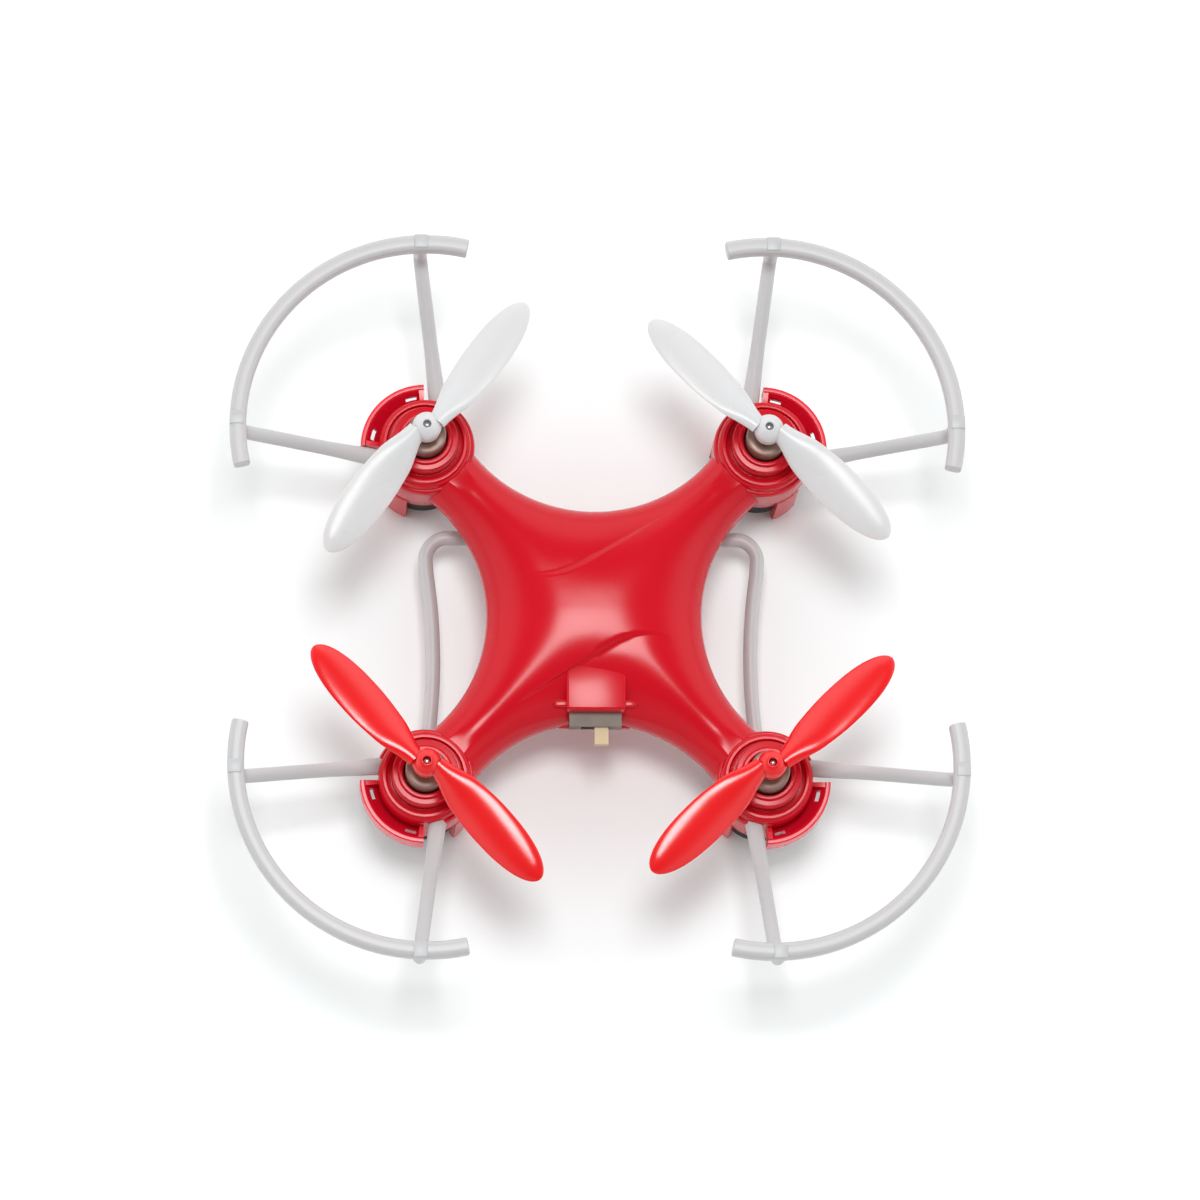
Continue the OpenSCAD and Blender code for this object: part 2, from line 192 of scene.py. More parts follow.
def block(bm, low, high, bevel=0.15, segments=3):
    """A box between two corners with rounded edges; gives back its faces."""
    made = bmesh.ops.create_cube(bm, size=1)["verts"]
    low, high = Vector(low), Vector(high)
    for v in made:
        v.co = Vector((low[k] if v.co[k] < 0 else high[k]) for k in range(3))
    edges = list({e for v in made for e in v.link_edges})
    result = bmesh.ops.bevel(
        bm, geom=edges, offset=bevel, segments=segments, affect="EDGES", profile=0.5
    )
    return result["faces"]


def corner_matrix(corner):
    """From a corner's own frame, outward diagonal at +45 degrees, to the drone's."""
    sx, sy = CORNERS[corner]
    return Matrix.Translation((sx * MOTOR, sy * MOTOR, 0)) @ Matrix.Diagonal((sx, sy, 1, 1))


def piece(name, bm, material, body, nodes=(), matrix=None, crisp=38):
    """A finished object from millimetre bmesh work: smooth, sharp only over a crisp angle."""
    if matrix is not None:
        bm.transform(matrix)
    bm.transform(Matrix.Scale(MM, 4))
    bmesh.ops.remove_doubles(bm, verts=bm.verts, dist=1e-7)
    bmesh.ops.recalc_face_normals(bm, faces=bm.faces)
    mesh = bpy.data.meshes.new(name)
    bm.to_mesh(mesh)
    bm.free()
    mesh.shade_smooth()
    mesh.set_sharp_from_angle(angle=math.radians(crisp))
    mesh.materials.append(material)
    obj = bpy.data.objects.new(name, mesh)
    bpy.context.scene.collection.objects.link(obj)
    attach(obj, body)
    if nodes:
        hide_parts(*nodes)
    return obj


# ---- materials ----


def tint(colour, factor):
    return tuple(min(1.0, c * factor) for c in colour) + (1.0,)


def finish_material(
    name, colour, rough, spread=0.04, grain=900, bump=0.02, mottle=0.05, wear=0.0,
    metallic=0.0, coat=0.0, soft=0.0, soft_radius=(1, 0.6, 0.5), brushed=False, shine=0.5,
):
    """A moulded, drawn or sheet surface: mottled colour, uneven gloss, fine grain and worn edges."""
    material = bpy.data.materials.new(name)
    material.use_nodes = True
    nodes, links = material.node_tree.nodes, material.node_tree.links
    shader = nodes["Principled BSDF"]
    shader.inputs["Metallic"].default_value = metallic
    shader.inputs["Specular IOR Level"].default_value = shine
    shader.inputs["Coat Weight"].default_value = coat
    shader.inputs["Coat Roughness"].default_value = 0.12
    if soft:
        shader.inputs["Subsurface Weight"].default_value = soft
        shader.inputs["Subsurface Radius"].default_value = soft_radius
        shader.inputs["Subsurface Scale"].default_value = 0.0006

    place = nodes.new("ShaderNodeTexCoord")
    stretch = nodes.new("ShaderNodeMapping")
    stretch.inputs["Scale"].default_value = (1, 1, 0.04) if brushed else (1, 1, 1)
    links.new(place.outputs["Object"], stretch.inputs["Vector"])

    def noise(scale, detail):
        node = nodes.new("ShaderNodeTexNoise")
        node.inputs["Scale"].default_value = scale
        node.inputs["Detail"].default_value = detail
        links.new(stretch.outputs["Vector"], node.inputs["Vector"])
        return node.outputs["Fac"]

    broad, fine = noise(grain * 0.12, 2), noise(grain, 4)

    shade = nodes.new("ShaderNodeMix")
    shade.data_type = "RGBA"
    shade.inputs["A"].default_value = tint(colour, 1 - 2 * mottle)
    shade.inputs["B"].default_value = tint(colour, 1 + 2 * mottle)
    links.new(broad, shade.inputs["Factor"])
    base = shade.outputs["Result"]
    if wear:
        shape = nodes.new("ShaderNodeNewGeometry")
        edge = nodes.new("ShaderNodeMapRange")
        edge.interpolation_type = "SMOOTHSTEP"
        edge.inputs["From Min"].default_value = 0.52
        edge.inputs["From Max"].default_value = 0.62
        edge.inputs["To Max"].default_value = wear
        links.new(shape.outputs["Pointiness"], edge.inputs["Value"])
        worn = nodes.new("ShaderNodeMix")
        worn.data_type = "RGBA"
        worn.inputs["B"].default_value = tint(tuple(c * 0.75 + 0.2 for c in colour), 1)
        links.new(edge.outputs["Result"], worn.inputs["Factor"])
        links.new(base, worn.inputs["A"])
        base = worn.outputs["Result"]
    links.new(base, shader.inputs["Base Color"])

    gloss = nodes.new("ShaderNodeMapRange")
    gloss.inputs["To Min"].default_value = max(rough - spread, 0.02)
    gloss.inputs["To Max"].default_value = min(rough + spread, 1)
    links.new(fine if brushed else broad, gloss.inputs["Value"])
    links.new(gloss.outputs["Result"], shader.inputs["Roughness"])

    relief = nodes.new("ShaderNodeBump")
    relief.inputs["Strength"].default_value = bump
    relief.inputs["Distance"].default_value = 0.0002
    links.new(fine, relief.inputs["Height"])
    links.new(relief.outputs["Normal"], shader.inputs["Normal"])
    return material


RED = (0.54, 0.003, 0.013)
materials = {
    "red_shell": finish_material("red_shell", RED, 0.20, spread=0.03, bump=0.02, mottle=0.03, shine=0.22),
    "lens_red": finish_material(
        "lens_red", (0.72, 0.006, 0.026), 0.24, bump=0.03, soft=0.3, soft_radius=(1, 0.1, 0.1),
        shine=0.4,
    ),
    "prop_white": finish_material(
        "prop_white", (0.59, 0.595, 0.60), 0.28, bump=0.03, mottle=0.02, soft=0.2, shine=0.3
    ),
    "prop_red": finish_material(
        "prop_red", (0.70, 0.004, 0.006), 0.20, bump=0.03, mottle=0.03, soft=0.12,
        soft_radius=(1, 0.1, 0.1), shine=0.55,
    ),
    "guard_white": finish_material(
        "guard_white", (0.49, 0.485, 0.49), 0.34, bump=0.05, mottle=0.02, soft=0.2, shine=0.35
    ),
    "screw_steel": finish_material("screw_steel", (0.55, 0.55, 0.56), 0.32, metallic=1, wear=0.3),
    "board_green": finish_material("board_green", (0.02, 0.15, 0.06), 0.35, coat=0.3),
    "chip_black": finish_material("chip_black", (0.02, 0.02, 0.02), 0.55, bump=0.08),
    "battery_foil": finish_material("battery_foil", (0.68, 0.68, 0.70), 0.38, metallic=0.9, bump=0.2),
    "foam_black": finish_material("foam_black", (0.03, 0.03, 0.03), 0.95, bump=0.5, grain=1500),
    "wire_blue": finish_material("wire_blue", (0.05, 0.10, 0.45), 0.45),
    "wire_red": finish_material("wire_red", (0.55, 0.03, 0.03), 0.45),
    "black_plastic": finish_material("black_plastic", (0.02, 0.02, 0.02), 0.5, bump=0.06),
    "foot_rubber": finish_material("foot_rubber", (0.018, 0.018, 0.018), 0.8, bump=0.2, wear=0.1),
    "socket_white": finish_material("socket_white", (0.70, 0.69, 0.64), 0.5),
    "switch_metal": finish_material(
        "switch_metal", (0.16, 0.135, 0.11), 0.55, metallic=0.4, brushed=True, spread=0.1, wear=0.2
    ),
    "knob_cream": finish_material("knob_cream", (0.56, 0.44, 0.26), 0.5, soft=0.2, wear=0.2),
    "lamp_white": finish_material("lamp_white", (0.88, 0.86, 0.70), 0.3),
    # Reddish-brown tint of the motor cans: partly the steel's own tone, partly a painted reflection of the
    # red body around them.
    "motor_steel": finish_material(
        "motor_steel", (0.26, 0.17, 0.14), 0.42, metallic=0.7, brushed=True, spread=0.08, wear=0.3
    ),
    "bush_brass": finish_material("bush_brass", (0.50, 0.36, 0.18), 0.34, metallic=1, wear=0.3),
    "shaft_steel": finish_material("shaft_steel", (0.66, 0.66, 0.68), 0.18, metallic=1),
}


# ---- CAD nodes that stay, with eased edges and finished materials ----


def ease_node(node, slot, width):
    """Joins the node's split faces, rounds its hard edges a little and gives it its finish."""
    obj = frame["nodes"][node]
    mesh = obj.data
    if "custom_normal" in mesh.attributes:
        mesh.attributes.remove(mesh.attributes["custom_normal"])
    mesh.shade_smooth()
    mesh.materials.clear()
    mesh.materials.append(materials[slot])
    weld = obj.modifiers.new("weld", "WELD")
    weld.merge_threshold = 1e-7
    if width:
        bevel = obj.modifiers.new("ease", "BEVEL")
        bevel.width = width * MM
        bevel.segments = 2
        bevel.limit_method = "ANGLE"
        bevel.angle_limit = math.radians(40)
        bevel.use_clamp_overlap = True
    even = obj.modifiers.new("even", "WEIGHTED_NORMAL")
    even.keep_sharp = True


EASED = {"switch_case": 0.1, "switch_knob": 0.12, "battery": 0.4, "charge_socket": 0.1}
EASED_AT_CORNERS = {"motor_can": 0.18, "motor_bush": 0.06, "motor_plug": 0.2}
for row in frame["record"]["subparts"]:
    name, slot = row["node"], row["material_slot"]
    kind = name
    for corner in CORNERS:
        kind = kind.removesuffix("_" + corner)
    ease_node(name, slot, EASED.get(kind, EASED_AT_CORNERS.get(kind, 0)))


# ---- body shells ----

RIDGE = 1.6
SHOULDER = 9.0
PROFILE = 2.15
HOOD_DIP = 0.5
HOOD_DIP_LENGTH = 9.0
HOOD_DIP_HALF = 10.0
BELLY = 5.4
BELLY_SHOULDER = 4.2
BELLY_RISE = 0.0046
POD_R = 4.6
WALL = 0.9
LIP = 0.13
CREASE_DEPTH = 0.36
CREASE_WIDTH = 0.42
CREASE_REACH = 2.6
CREASE_Y = 0.4
ARM_END = 4.2
ARM_END_TOP = 12.3
ARM_FAIRING = 2.8
COLUMNS = 220
ROWS = 96
INNER_COLUMNS = 42
INNER_ROWS = 12


def depth(x, y):
    """Blended distance in from the four hollow sides, so that the arms keep a round ridge."""
    total = 0.0
    for px, py in ((SIDE_CENTRE, 0), (-SIDE_CENTRE, 0), (0, SIDE_CENTRE), (0, -SIDE_CENTRE)):
        total += math.exp((SIDE_R - math.hypot(x - px, y - py)) / RIDGE)
    return max(-RIDGE * math.log(total), 0)


def crease_edge(u):
    """Half width of the raised band at a place along the diagonal."""
    return 4.0 - 0.22 * u + 1.2 * math.exp(-(u + 1.6) / 1.5)


def crease(x, y):
    """How far the dome is tucked down just outside the band that crosses it."""
    drop = 0.0
    y -= CREASE_Y
    for side in (1, -1):
        u = side * (x + y) / math.sqrt(2)
        v = side * (y - x) / math.sqrt(2)
        fade = smooth(u, -3.4, 1.2) * (1 - smooth(u, 6.5, 14))
        if fade:
            beyond = v - crease_edge(u)
            tuck = smooth(beyond, 0, CREASE_WIDTH) * math.exp(-max(beyond, 0) / CREASE_REACH)
            drop += fade * CREASE_DEPTH * tuck
    return drop


def top_height(x, y):
    q = min(depth(x, y) / SHOULDER, 1)
    rise = (1 - (1 - q) ** PROFILE) ** (1 / PROFILE)
    dip = HOOD_DIP * smooth(-y, 0, HOOD_DIP_LENGTH) * (1 - smooth(abs(x), 0, HOOD_DIP_HALF))
    top = SEAM + (DOME_TOP - SEAM) * rise - (crease(x, y) + dip) * smooth(q, 0.02, 0.2)
    from_motor = math.hypot(abs(x) - MOTOR, abs(y) - MOTOR)
    low = 1 - smooth(from_motor, ARM_END, ARM_END + ARM_FAIRING)
    return top + low * (min(top, ARM_END_TOP) - top)


def belly_height(x, y):
    q = min(depth(x, y) / BELLY_SHOULDER, 1)
    full = SEAM - BELLY - BELLY_RISE * (x * x + y * y)
    return SEAM - full * math.sqrt(q * (2 - q))


def side_point(turn, share, inset):
    """Plan point of the +Y quarter: turn is the angle round the hollow side's centre."""
    start = SIDE_R + inset
    far = SIDE_CENTRE / (math.sin(abs(turn)) + math.cos(turn))
    rho = start + (far - start) * share
    return rho * math.sin(turn), SIDE_CENTRE - rho * math.cos(turn)


def end_turn(share, inset, clear):
    """The angle at which a row meets a circle about the motor axis."""
    low, high = math.radians(40), math.radians(62)
    for _ in range(40):
        middle = (low + high) / 2
        x, y = side_point(middle, share, inset)
        if math.hypot(x - MOTOR, y - MOTOR) > clear:
            low = middle
        else:
            high = middle
    return low


def quarter_rows(columns, rows, inset, clear, height, turn, edge_levels=()):
    """Rows of points of one quarter, from its hollow side in to the two diagonals."""
    out = []

    def place(angle, share, inset):
        x, y = side_point(angle, share, inset)
        spot = turn @ Vector((x, y, 0))
        return spot.x, spot.y

    for level, in_by in edge_levels:
        limit = end_turn(0, inset + in_by, clear)
        row = []
        for i in range(columns + 1):
            x, y = place(limit * (2 * i / columns - 1), 0, inset + in_by)
            row.append((x, y, level))
        out.append(row)
    for j in range(rows + 1):
        share = 1 - math.cos(math.pi / 2 * j / rows)
        limit = end_turn(share, inset, clear)
        row = []
        for i in range(columns + 1):
            x, y = place(limit * (2 * i / columns - 1), share, inset)
            row.append((x, y, height(x, y)))
        out.append(row)
    return out


def lay_rows(bm, rows):
    """Vertices of a quarter, with quads between its rows."""
    made = [[bm.verts.new(p) for p in row] for row in rows]
    for a, b in zip(made, made[1:]):
        for i in range(len(a) - 1):
            corners = (a[i], a[i + 1], b[i + 1], b[i])
            if (b[i].co - b[i + 1].co).length > 1e-6:
                bm.faces.new(corners)
    return made


def shell(bm, height, inner_height, lip, end):
    """A closed thin shell: fine outer skin, plain inner skin, a rim at the seam and at each pod."""
    for k in range(4):
        turn = Matrix.Rotation(math.pi / 2 * k, 3, "Z")
        outer = quarter_rows(COLUMNS, ROWS, 0, end, height, turn, lip)
        inner = quarter_rows(INNER_COLUMNS, INNER_ROWS, WALL, POD_R + 1.3, inner_height, turn)
        out, ins = lay_rows(bm, outer), lay_rows(bm, inner)
        zip_rows(bm, out[0], ins[0])
        for end in (0, -1):
            zip_rows(bm, [row[end] for row in out], [row[end] for row in ins])


HOOD_HALF = 2.95
SHELF_HALF = 3.6
SHELF_REAR = -11.2
HOOD_LOW = (-HOOD_HALF, -10.2, 9.3)
HOOD_HIGH = (HOOD_HALF, -4.8, 13.1)
POCKET_LEFT, POCKET_RIGHT = node_box("switch_case")[0].x, node_box("switch_case")[1].x
POCKET_LOW, POCKET_HIGH = node_box("switch_case")[0].z, node_box("switch_case")[1].z
LEDGE_LOW = (2.5, -9.75, 10.6)
LEDGE_HIGH = (4.15, -8.9, 12.15)


def hood(bm):
    """The housing over the power switch, open at the back, and the small ledge on each side."""
    block(bm, HOOD_LOW, HOOD_HIGH, bevel=0.26, segments=4)
    back = min(
        (f for f in bm.faces if f.calc_area() > 4 and abs(f.normal.y) > 0.99),
        key=lambda f: f.calc_center_median().y,
    )
    bmesh.ops.inset_region(bm, faces=[back], thickness=0.2)
    middle = back.calc_center_median()
    for v in back.verts:
        v.co.x = POCKET_LEFT if v.co.x < middle.x else POCKET_RIGHT
        v.co.z = POCKET_LOW if v.co.z < middle.z else POCKET_HIGH
    inside = bmesh.ops.extrude_discrete_faces(bm, faces=[back])["faces"][0]
    for v in inside.verts:
        v.co.y += 2.0
    block(bm, LEDGE_LOW, LEDGE_HIGH, bevel=0.18)
    block(bm, (-LEDGE_HIGH[0], *LEDGE_LOW[1:]), (-LEDGE_LOW[0], *LEDGE_HIGH[1:]), bevel=0.18)


def make_body():
    bm = bmesh.new()
    shell(
        bm, top_height, lambda x, y: max(top_height(x, y) - WALL, SEAM),
        [(SEAM, LIP), (SEAM + 0.05, LIP * 0.35)], ARM_END,
    )
    hood(bm)
    piece("top_shell_skin", bm, materials["red_shell"], "airframe", ["top_shell"])
    bm = bmesh.new()
    shell(
        bm, belly_height, lambda x, y: min(belly_height(x, y) + WALL, SEAM),
        [(SEAM - 0.02, LIP), (SEAM - 0.07, LIP * 0.35)], POD_R - 0.1,
    )
    low = node_box("bottom_shell")[0]
    for x in (-3.5, 3.5):
        for y in (7.8, 9.7):
            block(bm, (x - 0.8, y, low.z), (x + 0.8, y + 0.7, BELLY + 1.6), bevel=0.12)
    block(bm, (-SHELF_HALF, SHELF_REAR, SEAM - 0.8), (SHELF_HALF, SHELF_REAR + 1.2, SEAM - 0.05))
    piece("bottom_shell_skin", bm, materials["red_shell"], "airframe", ["bottom_shell"])


make_body()


# ---- motor pods and lamp lenses ----

POD_LOW = node_box("motor_pod_front_right")[0].z
BOSS_TOP = node_box("motor_pod_front_right")[1].z
POD_FLOOR = node_box("motor_plug_front_right")[1].z
LENS_LOW, LENS_HIGH = node_box("lamp_lens_front_right")
LENS_R = 6.4
LENS_FLOOR = 9.5
LENS_RIM = 0.55
LENS_DISH = (4.5, LENS_R - LENS_RIM)
LENS_T = 0.55
LENS_SPAN = 88
LENS_END = 5
SLOT_ANGLE = 30
SLOT_SPAN = 12
SLOT_IN, SLOT_OUT = 5.15, 5.5
BORE = CAN_R + 0.1
LEG_TURN = 100
LEG_R = 5.0
LEG_SPAN = 30


def pod(bm):
    """Cup for the motor: wall, rounded shoulder with a flat bead, groove and a stepped collar."""
    outline = [
        (CAN_R, POD_FLOOR), (POD_R, POD_FLOOR), (POD_R, 12.0), (4.45, 12.5), (4.24, 12.62),
        (4.2, 12.96), (4.14, 13.0), (3.86, 13.0), (3.8, 12.95), (3.78, 12.5), (3.27, 12.45),
        (3.25, BOSS_TOP - 0.45), (3.2, BOSS_TOP - 0.3), (2.7, BOSS_TOP - 0.3),
        (2.62, BOSS_TOP - 0.04), (2.56, BOSS_TOP), (2.28, BOSS_TOP), (2.2, BOSS_TOP - 0.06),
        (BORE + 0.06, BOSS_TOP - 0.5), (BORE, BOSS_TOP - 1.2), (CAN_R, BOSS_TOP - 1.2),
    ]
    lathe(bm, rounded(outline, 0.06), steps=132)
    sleeve = [(4.5, 8.0), (5.0, 8.0), (4.98, 11.3), (4.86, 11.7), (4.7, 11.8), (4.5, 11.75)]
    lathe(bm, rounded(sleeve, 0.1), steps=84, middle=225, span=240)
    for side in (-1, 1):
        leg = [
            (LEG_R - 0.8, POD_LOW), (LEG_R - 0.25, POD_LOW), (LEG_R, POD_LOW + 0.5), (LEG_R, 7.2),
            (LEG_R - 0.35, 8.0), (LEG_R - 0.8, 8.0),
        ]
        lathe(bm, rounded(leg, 0.12), steps=16, middle=45 + side * LEG_TURN, span=LEG_SPAN)


def dish(r):
    """Height of the crescent's channel, which slopes up from the pod to the rim."""
    low, high = LENS_DISH
    share = min(max((r - low) / (high - low), 0), 1)
    return LENS_FLOOR + (LENS_HIGH.z - 0.06 - LENS_FLOOR) * share ** 1.15


def lens(bm):
    """Crescent trough round the outside of a pod, with closed ends and a light slot near each."""
    half = LENS_SPAN / 2

    def strip(r_in, r_out, middle, span, lift=0.0):
        rows = [r_in + (r_out - r_in) * k / 10 for k in range(11)]
        outline = [(r, max(dish(r) - LENS_T, LENS_LOW.z)) for r in rows]
        outline += [(r, dish(r) + lift) for r in reversed(rows)]
        lathe(bm, outline, steps=max(4, int(span * 0.8)), middle=middle, span=span)

    strip(POD_R - 0.1, SLOT_IN, 45, LENS_SPAN)
    strip(SLOT_OUT, LENS_R - LENS_RIM + 0.07, 45, LENS_SPAN)
    strip(SLOT_IN, SLOT_OUT, 45, 2 * SLOT_ANGLE - SLOT_SPAN)
    rest = half - SLOT_ANGLE - SLOT_SPAN / 2
    for side in (-1, 1):
        strip(SLOT_IN, SLOT_OUT, 45 + side * (half - rest / 2), rest)
    top = LENS_HIGH.z
    skirt = [
        (LENS_R - LENS_RIM, LENS_LOW.z), (LENS_R - 0.05, LENS_LOW.z), (LENS_R, LENS_LOW.z + 0.4),
        (LENS_R, top - 0.1), (LENS_R - 0.08, top), (LENS_R - LENS_RIM + 0.08, top),
        (LENS_R - LENS_RIM, top - 0.12),
    ]
    lathe(bm, rounded(skirt, 0.08), steps=68, middle=45, span=LENS_SPAN)
    end = [
        (POD_R - 0.1, LENS_LOW.z), (LENS_R - 0.2, LENS_LOW.z), (LENS_R - 0.2, top - 0.03),
        (POD_R - 0.1, top - 0.25),
    ]
    for side in (-1, 1):
        lathe(bm, rounded(end, 0.15), steps=4, middle=45 + side * (half - LENS_END / 2), span=LENS_END)


# ---- propellers ----

HUB_TOP = node_box("propeller_front_right")[1].z
PROP_R = 16.0
CHORD = 4.5
ROOT_AT = 0.9
STATIONS = 44
SECTION = 28
BLADE_Z = HUB_TOP - 1.25
HUB_R = 1.45
HEADING = {"front_left": 53.4, "front_right": 135.8, "rear_left": 132.6, "rear_right": 43.2}
TURNS = {"front_left": -1, "front_right": 1, "rear_left": 1, "rear_right": -1}


def blade_ring(share):
    """One blade section: thin, cambered and pitched, on a long oval outline."""
    root = 0.42 + 0.38 * smooth(share, -0.03, 0.26) + 0.2 * smooth(share, 0.08, 0.5)
    tip = max(0.0, (share - 0.5) / 0.5)
    chord = CHORD * root * math.sqrt(max(0.002, 1 - tip ** 2.4))
    thick = 0.34 + 0.85 * (1 - smooth(share, 0, 0.4))
    thick *= 1 - 0.55 * smooth(share, 0.9, 1)
    pitch = math.radians(24 - 12 * share)
    sweep_back = 0.6 - 0.25 * share
    ring = []
    for k in range(SECTION):
        t = 2 * math.pi * k / SECTION
        y = chord / 2 * math.cos(t) + sweep_back
        z = thick / 2 * math.sin(t) + 0.075 * chord * (1 - math.cos(t) ** 2)
        ring.append((
            ROOT_AT + share * (PROP_R - ROOT_AT),
            y * math.cos(pitch) - z * math.sin(pitch),
            y * math.sin(pitch) + z * math.cos(pitch),
        ))
    return ring


def propeller(bm, heading, turn):
    for flip in (0, 180):
        before = len(bm.verts)
        skin_rings(bm, [blade_ring(math.sin(math.pi / 2 * i / (STATIONS - 1))) for i in range(STATIONS)])
        bm.verts.ensure_lookup_table()
        place = (
            Matrix.Translation((0, 0, BLADE_Z))
            @ Matrix.Rotation(math.radians(heading + flip), 4, "Z")
            @ Matrix.Diagonal((1, turn, 1, 1))
        )
        for v in bm.verts[before:]:
            v.co = place @ v.co
    bottom = HUB_TOP - 2.6
    hub = [
        (0.4, bottom), (HUB_R - 0.12, bottom), (HUB_R, HUB_TOP - 1.05), (1.33, HUB_TOP - 0.66),
        (1.08, HUB_TOP - 0.34), (0.76, HUB_TOP - 0.12), (0.46, HUB_TOP), (0.4, HUB_TOP - 0.12),
    ]
    lathe(bm, rounded(hub, 0.2, steps=5), steps=72)


# ---- guards ----

ARC_LOW, ARC_HIGH = node_box("guard_arc_front_right")
GUARD_R = ARC_HIGH.x - MOTOR
GUARD_W = 1.65
ARC_MID_R = GUARD_R - GUARD_W / 2
ARC_MID_Z = (ARC_LOW.z + ARC_HIGH.z) / 2
ARC_H = ARC_HIGH.z - ARC_LOW.z
ARC_SPAN = 115
PAD_HALF = 0.68
STRUT_R = 0.7
STRUT_ROOT = (3.5, -1.4)
STRUT_HEAD = (ARC_MID_R, 0.6)
STRUT_SLOPE = 14
STRUT_BEND = 1.6
STRUT_BEND_Z = 16.0
BRACE_LOW, BRACE_HIGH = node_box("brace")
BRACE_R = (BRACE_HIGH.z - BRACE_LOW.z) / 2
BRACE_Z = (BRACE_HIGH.z + BRACE_LOW.z) / 2


def guard_arc(bm):
    """Rounded bar bent round the propeller's sweep, with a small pad over each strut."""
    half_w, half_h = GUARD_W / 2, ARC_H / 2
    outline = [(-half_w, -half_h), (half_w, -half_h), (half_w, half_h), (-half_w, half_h)]
    section = [tuple(p) for p in rounded(outline, 0.62, steps=5)]
    plan = arc_points((0, 0), ARC_MID_R, 45 - ARC_SPAN / 2, 45 + ARC_SPAN / 2, 110)

    def shape(i, share):
        end = min(i, len(plan) - 1 - i)
        ease = 0.88 if end == 0 else 1
        return [(a * ease, b * ease) for a, b in section]

    def stretched():
        """The arc's points, with one more close to each end so that the cut stays square."""
        first, last = Vector(plan[0]), Vector(plan[-1])
        second = first + (Vector(plan[1]) - first).normalized() * 0.1
        before = last + (Vector(plan[-2]) - last).normalized() * 0.1
        return [first, second, *map(Vector, plan[1:-1]), before, last]

    plan = stretched()
    sweep(bm, [(p[0], p[1], ARC_MID_Z) for p in plan], shape)
    for x, y in (STRUT_HEAD, STRUT_HEAD[::-1]):
        outward = Vector((x, y)).normalized() * 0.1
        low = (x - PAD_HALF + outward.x, y - PAD_HALF + outward.y, ARC_HIGH.z - 0.5)
        high = (x + PAD_HALF + outward.x, y + PAD_HALF + outward.y, ARC_HIGH.z + 0.05)
        block(bm, low, high, bevel=0.1)


def strut_path():
    """From inside the pod wall, up a slope and round a bend into the arc."""
    root, head = Vector(STRUT_ROOT), Vector(STRUT_HEAD)
    run = (head - root).length
    ahead = (head - root) / run
    slope = math.radians(STRUT_SLOPE)
    bend_x = run - STRUT_BEND
    low_x = bend_x + STRUT_BEND * math.sin(slope)
    low_z = STRUT_BEND_Z - STRUT_BEND * math.cos(slope)
    along = [(s, low_z - math.tan(slope) * (low_x - s)) for s in [low_x * k / 24 for k in range(24)]]
    along += arc_points((bend_x, STRUT_BEND_Z), STRUT_BEND, STRUT_SLOPE - 90, 0, 14)
    along += [(run, STRUT_BEND_Z + 0.9), (run, STRUT_BEND_Z + 1.8), (run, ARC_MID_Z - 0.4)]
    return [(root.x + ahead.x * s, root.y + ahead.y * s, z) for s, z in along]


def struts(bm):
    path = strut_path()

    def shape(i, share):
        swell = 1 + 0.24 * (1 - smooth(share, 0.02, 0.3)) + 0.08 * smooth(share, 0.9, 1)
        return circle(STRUT_R * swell, 22)

    sweep(bm, path, shape)
    sweep(bm, [(y, x, z) for x, y, z in path], shape)


def brace(bm):
    """Rod under the body: a crossbar, two corners and two bowed sides back to the rear plugs."""
    bow_r, bow_x, bow_y, half = 60, 15.9, -3.55, 9.6
    bar_y, corner_r = 9.1, 2.2
    centre = bow_x + bow_r
    half_angle = math.degrees(math.asin(half / bow_r))
    end_x = centre - bow_r * math.cos(math.radians(half_angle))
    right = [(x, bar_y) for x in range(0, 13, 2)]
    right += arc_points((end_x - corner_r, bar_y - corner_r), corner_r, 90, 0, 12)
    right += arc_points((centre, bow_y), bow_r, 180 - half_angle, 180 + half_angle, 30)[1:]
    left = [(-x, y) for x, y in reversed(right[1:])]
    sweep(bm, [(x, y, BRACE_Z) for x, y in left + right], lambda i, share: circle(BRACE_R, 20))


def make_corners():
    for corner, (sx, sy) in CORNERS.items():
        place = corner_matrix(corner)
        tone = "prop_white" if sy > 0 else "prop_red"
        parts = (
            ("motor_pod", "pod_shell", pod, "red_shell"),
            ("lamp_lens", "lens_crescent", lens, "lens_red"),
            ("guard_arc", "guard_bow", guard_arc, "guard_white"),
            ("guard_struts", "guard_rods", struts, "guard_white"),
        )
        for node, name, draw, slot in parts:
            bm = bmesh.new()
            draw(bm)
            label = f"{name}_{corner}"
            piece(label, bm, materials[slot], "airframe", [f"{node}_{corner}"], place)
        bm = bmesh.new()
        propeller(bm, HEADING[corner], TURNS[corner])
        body = f"propeller_{corner}"
        axis = Matrix.Translation((sx * MOTOR, sy * MOTOR, 0))
        piece(f"rotor_{corner}", bm, materials[tone], body, [body], axis, crisp=50)
    bm = bmesh.new()
    brace(bm)
    piece("brace_rod", bm, materials["guard_white"], "airframe", ["brace"])


make_corners()


# ---- floor, light and camera ----

BACK = Vector((-0.05, -0.228, 1)).normalized()
RIGHT = Vector((1, 0.0063, 0))
TARGET = Vector((0.05, -0.78, 20.4)) * MM
DISTANCE = 0.700
LENS = 214.2
SENSOR = 36.0
KEY_FROM = Vector((-0.010, 0.085, 0.90))
KEY_SIZE = (0.26, 0.24)
KEY_WATTS = 4.2
SKY = ((0.0, 0.9), (0.2, 1.5), (0.5, 1.5), (0.85, 0.30), (1.0, 0.22))
REAR_LEVEL, FRONT_LEVEL = 0.5, 1.14
FLOOR_COLOUR = (0.862, 0.90, 0.898)


def aim(obj, target):
    obj.rotation_mode = "QUATERNION"
    obj.rotation_quaternion = (Vector(target) - obj.location).to_track_quat("-Z", "Y")


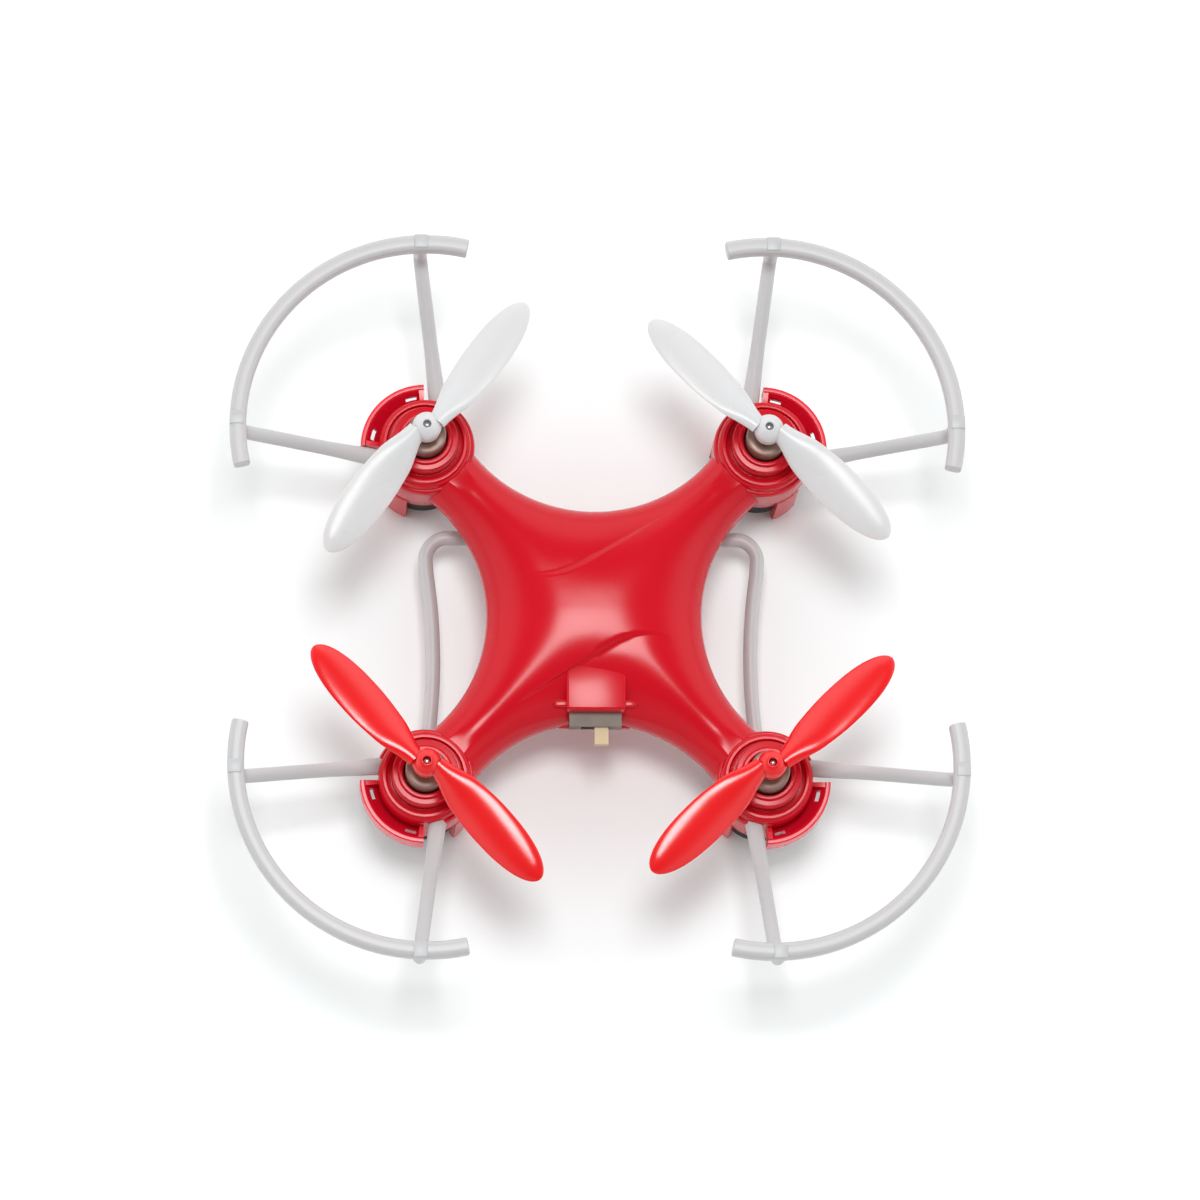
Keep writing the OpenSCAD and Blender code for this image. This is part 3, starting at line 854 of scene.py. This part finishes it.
def make_floor():
    bm = bmesh.new()
    bmesh.ops.create_grid(bm, x_segments=1, y_segments=1, size=3.0)
    mesh = bpy.data.meshes.new("floor")
    bm.to_mesh(mesh)
    bm.free()
    floor = bpy.data.objects.new("floor", mesh)
    bpy.context.scene.collection.objects.link(floor)
    floor.location.z = cad_low.z - 0.00002
    mesh.materials.append(
        finish_material("floor_white", FLOOR_COLOUR, 0.9, grain=300, bump=0.0, mottle=0.004)
    )


def area_light(name, place, target, size, watts, colour=(1, 1, 1)):
    data = bpy.data.lights.new(name, "AREA")
    data.shape = "RECTANGLE"
    data.size, data.size_y = size
    data.energy = watts
    data.color = colour
    light = bpy.data.objects.new(name, data)
    bpy.context.scene.collection.objects.link(light)
    light.location = place
    aim(light, target)


def make_world():
    """Studio surround: dim overhead, bright in a low ring that fades towards the rear."""
    world = bpy.data.worlds.new("studio")
    world.use_nodes = True
    nodes, links = world.node_tree.nodes, world.node_tree.links
    where = nodes.new("ShaderNodeTexCoord")
    split = nodes.new("ShaderNodeSeparateXYZ")
    links.new(where.outputs["Generated"], split.inputs["Vector"])
    ramp = nodes.new("ShaderNodeValToRGB")
    ramp.color_ramp.interpolation = "EASE"
    while len(ramp.color_ramp.elements) < len(SKY):
        ramp.color_ramp.elements.new(0.5)
    for element, (height, level) in zip(ramp.color_ramp.elements, SKY):
        element.position = height
        element.color = (level, level, level, 1)
    links.new(split.outputs["Z"], ramp.inputs["Fac"])
    backdrop = nodes["Background"]
    links.new(ramp.outputs["Color"], backdrop.inputs["Color"])
    rear = nodes.new("ShaderNodeMapRange")
    rear.interpolation_type = "SMOOTHSTEP"
    rear.inputs["From Min"].default_value = -0.9
    rear.inputs["From Max"].default_value = 0.0
    rear.inputs["To Min"].default_value = REAR_LEVEL
    rear.inputs["To Max"].default_value = FRONT_LEVEL
    links.new(split.outputs["Y"], rear.inputs["Value"])
    links.new(rear.outputs["Result"], backdrop.inputs["Strength"])
    bpy.context.scene.world = world


def make_lights(middle):
    area_light("key", middle + KEY_FROM, middle, KEY_SIZE, KEY_WATTS)
    make_world()


def make_camera():
    data = bpy.data.cameras.new("camera")
    data.lens = LENS
    data.sensor_width = SENSOR
    data.clip_start, data.clip_end = 0.05, 10
    camera = bpy.data.objects.new("camera", data)
    bpy.context.scene.collection.objects.link(camera)
    across = (RIGHT - BACK * RIGHT.dot(BACK)).normalized()
    turn = Matrix((across, BACK.cross(across), BACK)).transposed()
    camera.matrix_world = Matrix.Translation(TARGET + BACK * DISTANCE) @ turn.to_4x4()
    bpy.context.scene.camera = camera


make_floor()
make_lights((cad_low + cad_high) / 2)
make_camera()
bpy.context.scene.view_settings.view_transform = "Standard"
